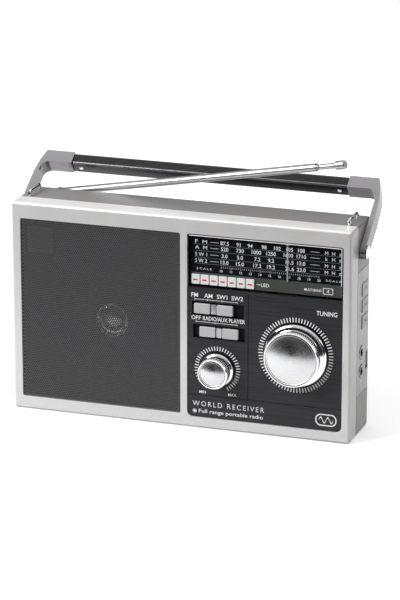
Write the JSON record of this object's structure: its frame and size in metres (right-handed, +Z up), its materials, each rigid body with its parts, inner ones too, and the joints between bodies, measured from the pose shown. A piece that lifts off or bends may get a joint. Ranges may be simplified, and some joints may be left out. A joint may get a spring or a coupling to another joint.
{
  "type": "portable shortwave radio receiver",
  "caption": "Flat silver portable multiband radio: perforated speaker front, slide-rule dial, turned knobs, bail handle and telescopic antenna.",
  "frame": {"origin": "centre of the cabinet's bottom face, where it stands", "axes": "+X to the right seen from the front, the front faces -Y, +Z up"},
  "size_m": [0.2768, 0.0931, 0.2103],
  "materials": {
    "silver_paint": "moulded ABS with satin silver paint",
    "front_silver": "moulded ABS with bright silver paint",
    "black_fascia": "black plate with a fine horizontal brushed grain",
    "grille_metal": "perforated sheet, painted dark grey",
    "chrome": "bright chrome",
    "brushed_cap": "spun aluminium disc",
    "satin_arm": "satin grey metal with polished sides",
    "black_gloss": "gloss black plastic",
    "white_plastic": "white moulded plastic",
    "clear_window": "clear polished acrylic",
    "scale_print": "dark printed dial plate",
    "pointer_paint": "pale painted pointer",
    "paper": "black paper cone",
    "steel": "zinc plated steel",
    "circuit_board": "green solder mask",
    "grey_plastic": "grey moulded plastic",
    "cord_fibre": "braided nylon dial cord",
    "ferrite": "dull black ferrite"
  },
  "bodies": {
    "cabinet": {"front_cabinet": "front_silver", "rear_cabinet": "silver_paint", "side_panel": "silver_paint", "case_screw_a": "steel", "case_screw_b": "steel", "case_screw_c": "steel", "case_screw_d": "steel", "speaker_grille": "grille_metal", "speaker_basket": "steel", "speaker_cone": "paper", "control_fascia": "black_fascia", "dial_window": "clear_window", "dial_scale": "scale_print", "signal_led_lens": "white_plastic", "dial_cord": "cord_fibre", "tuning_capacitor": "grey_plastic", "volume_pot": "steel", "band_switch": "grey_plastic", "function_switch": "grey_plastic", "button_board": "circuit_board", "headphone_jack": "black_gloss", "aux_jack": "black_gloss", "usb_socket": "steel", "ac_inlet": "black_gloss", "main_board": "circuit_board", "mains_transformer": "steel", "ferrite_aerial": "ferrite", "battery_spring_contact": "steel", "battery_plate_contact": "steel", "pivot_screw_left": "chrome", "pivot_screw_right": "chrome", "strap_lug_left": "chrome", "strap_lug_right": "chrome", "antenna_bracket": "chrome"},
    "handle": {"handle_arm_left": "satin_arm", "handle_arm_right": "satin_arm", "handle_grip": "black_gloss", "grip_screw_left": "chrome", "grip_screw_right": "chrome"},
    "antenna_base": {"antenna_swivel": "chrome"},
    "antenna_outer": {"antenna_outer_tube": "chrome"},
    "antenna_middle": {"antenna_middle_tube": "chrome"},
    "antenna_inner": {"antenna_inner_tube": "chrome"},
    "antenna_tip": {"antenna_rod": "chrome"},
    "tuning_control": {"tuning_knob": "chrome", "tuning_knob_cap": "brushed_cap", "tuning_spindle": "steel"},
    "tuning_drum": {"tuning_drum": "white_plastic"},
    "pulley_left": {"cord_pulley_left": "white_plastic"},
    "pulley_right": {"cord_pulley_right": "white_plastic"},
    "pointer": {"dial_pointer": "pointer_paint"},
    "volume_control": {"volume_knob": "chrome", "volume_knob_cap": "brushed_cap", "volume_shaft": "steel"},
    "band_slider": {"band_switch_knob": "white_plastic"},
    "function_slider": {"function_switch_knob": "white_plastic"},
    "previous_button": {"previous_button": "white_plastic"},
    "play_button": {"play_button": "white_plastic"},
    "next_button": {"next_button": "white_plastic"},
    "battery_door": {"battery_door": "silver_paint"}
  },
  "joints": [
    {"name": "handle_fold", "type": "hinge", "parent": "cabinet", "child": "handle", "pos_m": [0, 0.0003, 0.1413], "axis": [1, 0, 0], "range_deg": [-72, 36]},
    {"name": "antenna_turn", "type": "hinge", "parent": "cabinet", "child": "antenna_base", "pos_m": [-0.118, 0.0361, 0.1551], "axis": [0, 0, 1], "range_deg": [-3, 10]},
    {"name": "antenna_tilt", "type": "hinge", "parent": "antenna_base", "child": "antenna_outer", "pos_m": [-0.118, 0.0361, 0.1551], "axis": [-0.1736, -0.9848, 0], "range_deg": [0, 77.5]},
    {"name": "antenna_extend_middle", "type": "slide", "parent": "antenna_outer", "child": "antenna_middle", "axis": [0.9629, -0.1698, 0.2096], "range_m": [0, 0.19]},
    {"name": "antenna_extend_inner", "type": "slide", "parent": "antenna_middle", "child": "antenna_inner", "axis": [0.9629, -0.1698, 0.2096], "range_m": [0, 0.19]},
    {"name": "antenna_extend_tip", "type": "slide", "parent": "antenna_inner", "child": "antenna_tip", "axis": [0.9629, -0.1698, 0.2096], "range_m": [0, 0.19]},
    {"name": "tuning_turn", "type": "hinge", "parent": "cabinet", "child": "tuning_control", "pos_m": [0.0907, -0.013, 0.0645], "axis": [0, 1, 0], "range_deg": [-527.12, 286.48]},
    {"name": "drum_turn", "type": "hinge", "parent": "cabinet", "child": "tuning_drum", "pos_m": [0.07, -0.013, 0.092], "axis": [0, 1, 0], "range_deg": [-116.82, 63.58]},
    {"name": "pulley_left_turn", "type": "hinge", "parent": "cabinet", "child": "pulley_left", "pos_m": [0.0165, -0.013, 0.1412], "axis": [0, 1, 0], "range_deg": [-528.12, 287.48]},
    {"name": "pulley_right_turn", "type": "hinge", "parent": "cabinet", "child": "pulley_right", "pos_m": [0.1175, -0.013, 0.1412], "axis": [0, 1, 0], "range_deg": [-528.12, 287.48]},
    {"name": "pointer_travel", "type": "slide", "parent": "cabinet", "child": "pointer", "axis": [1, 0, 0], "range_m": [-0.0461, 0.0251]},
    {"name": "volume_turn", "type": "hinge", "parent": "cabinet", "child": "volume_control", "pos_m": [0.0301, -0.013, 0.0471], "axis": [0, 1, 0], "range_deg": [-150, 150]},
    {"name": "band_slide", "type": "slide", "parent": "cabinet", "child": "band_slider", "axis": [1, 0, 0], "range_m": [0, 0.0078]},
    {"name": "function_slide", "type": "slide", "parent": "cabinet", "child": "function_slider", "axis": [1, 0, 0], "range_m": [-0.0046, 0.0046]},
    {"name": "previous_press", "type": "slide", "parent": "cabinet", "child": "previous_button", "axis": [-1, 0, 0], "range_m": [0, 0.0012], "stiffness_N_per_m": 400, "springref_m": -0.0004},
    {"name": "play_press", "type": "slide", "parent": "cabinet", "child": "play_button", "axis": [-1, 0, 0], "range_m": [0, 0.0012], "stiffness_N_per_m": 400, "springref_m": -0.0004},
    {"name": "next_press", "type": "slide", "parent": "cabinet", "child": "next_button", "axis": [-1, 0, 0], "range_m": [0, 0.0012], "stiffness_N_per_m": 400, "springref_m": -0.0004},
    {"name": "door_open", "type": "hinge", "parent": "cabinet", "child": "battery_door", "pos_m": [0.0565, 0.0235, 0.0079], "axis": [-1, 0, 0], "range_deg": [0, 90]}
  ],
  "couplings": [
    {"joint": "drum_turn", "follows": "tuning_turn", "ratio": 0.22124},
    {"joint": "pulley_left_turn", "follows": "tuning_turn", "ratio": 1},
    {"joint": "pulley_right_turn", "follows": "tuning_turn", "ratio": 1},
    {"joint": "pointer_travel", "follows": "tuning_turn", "m_per_rad": 0.005}
  ]
}
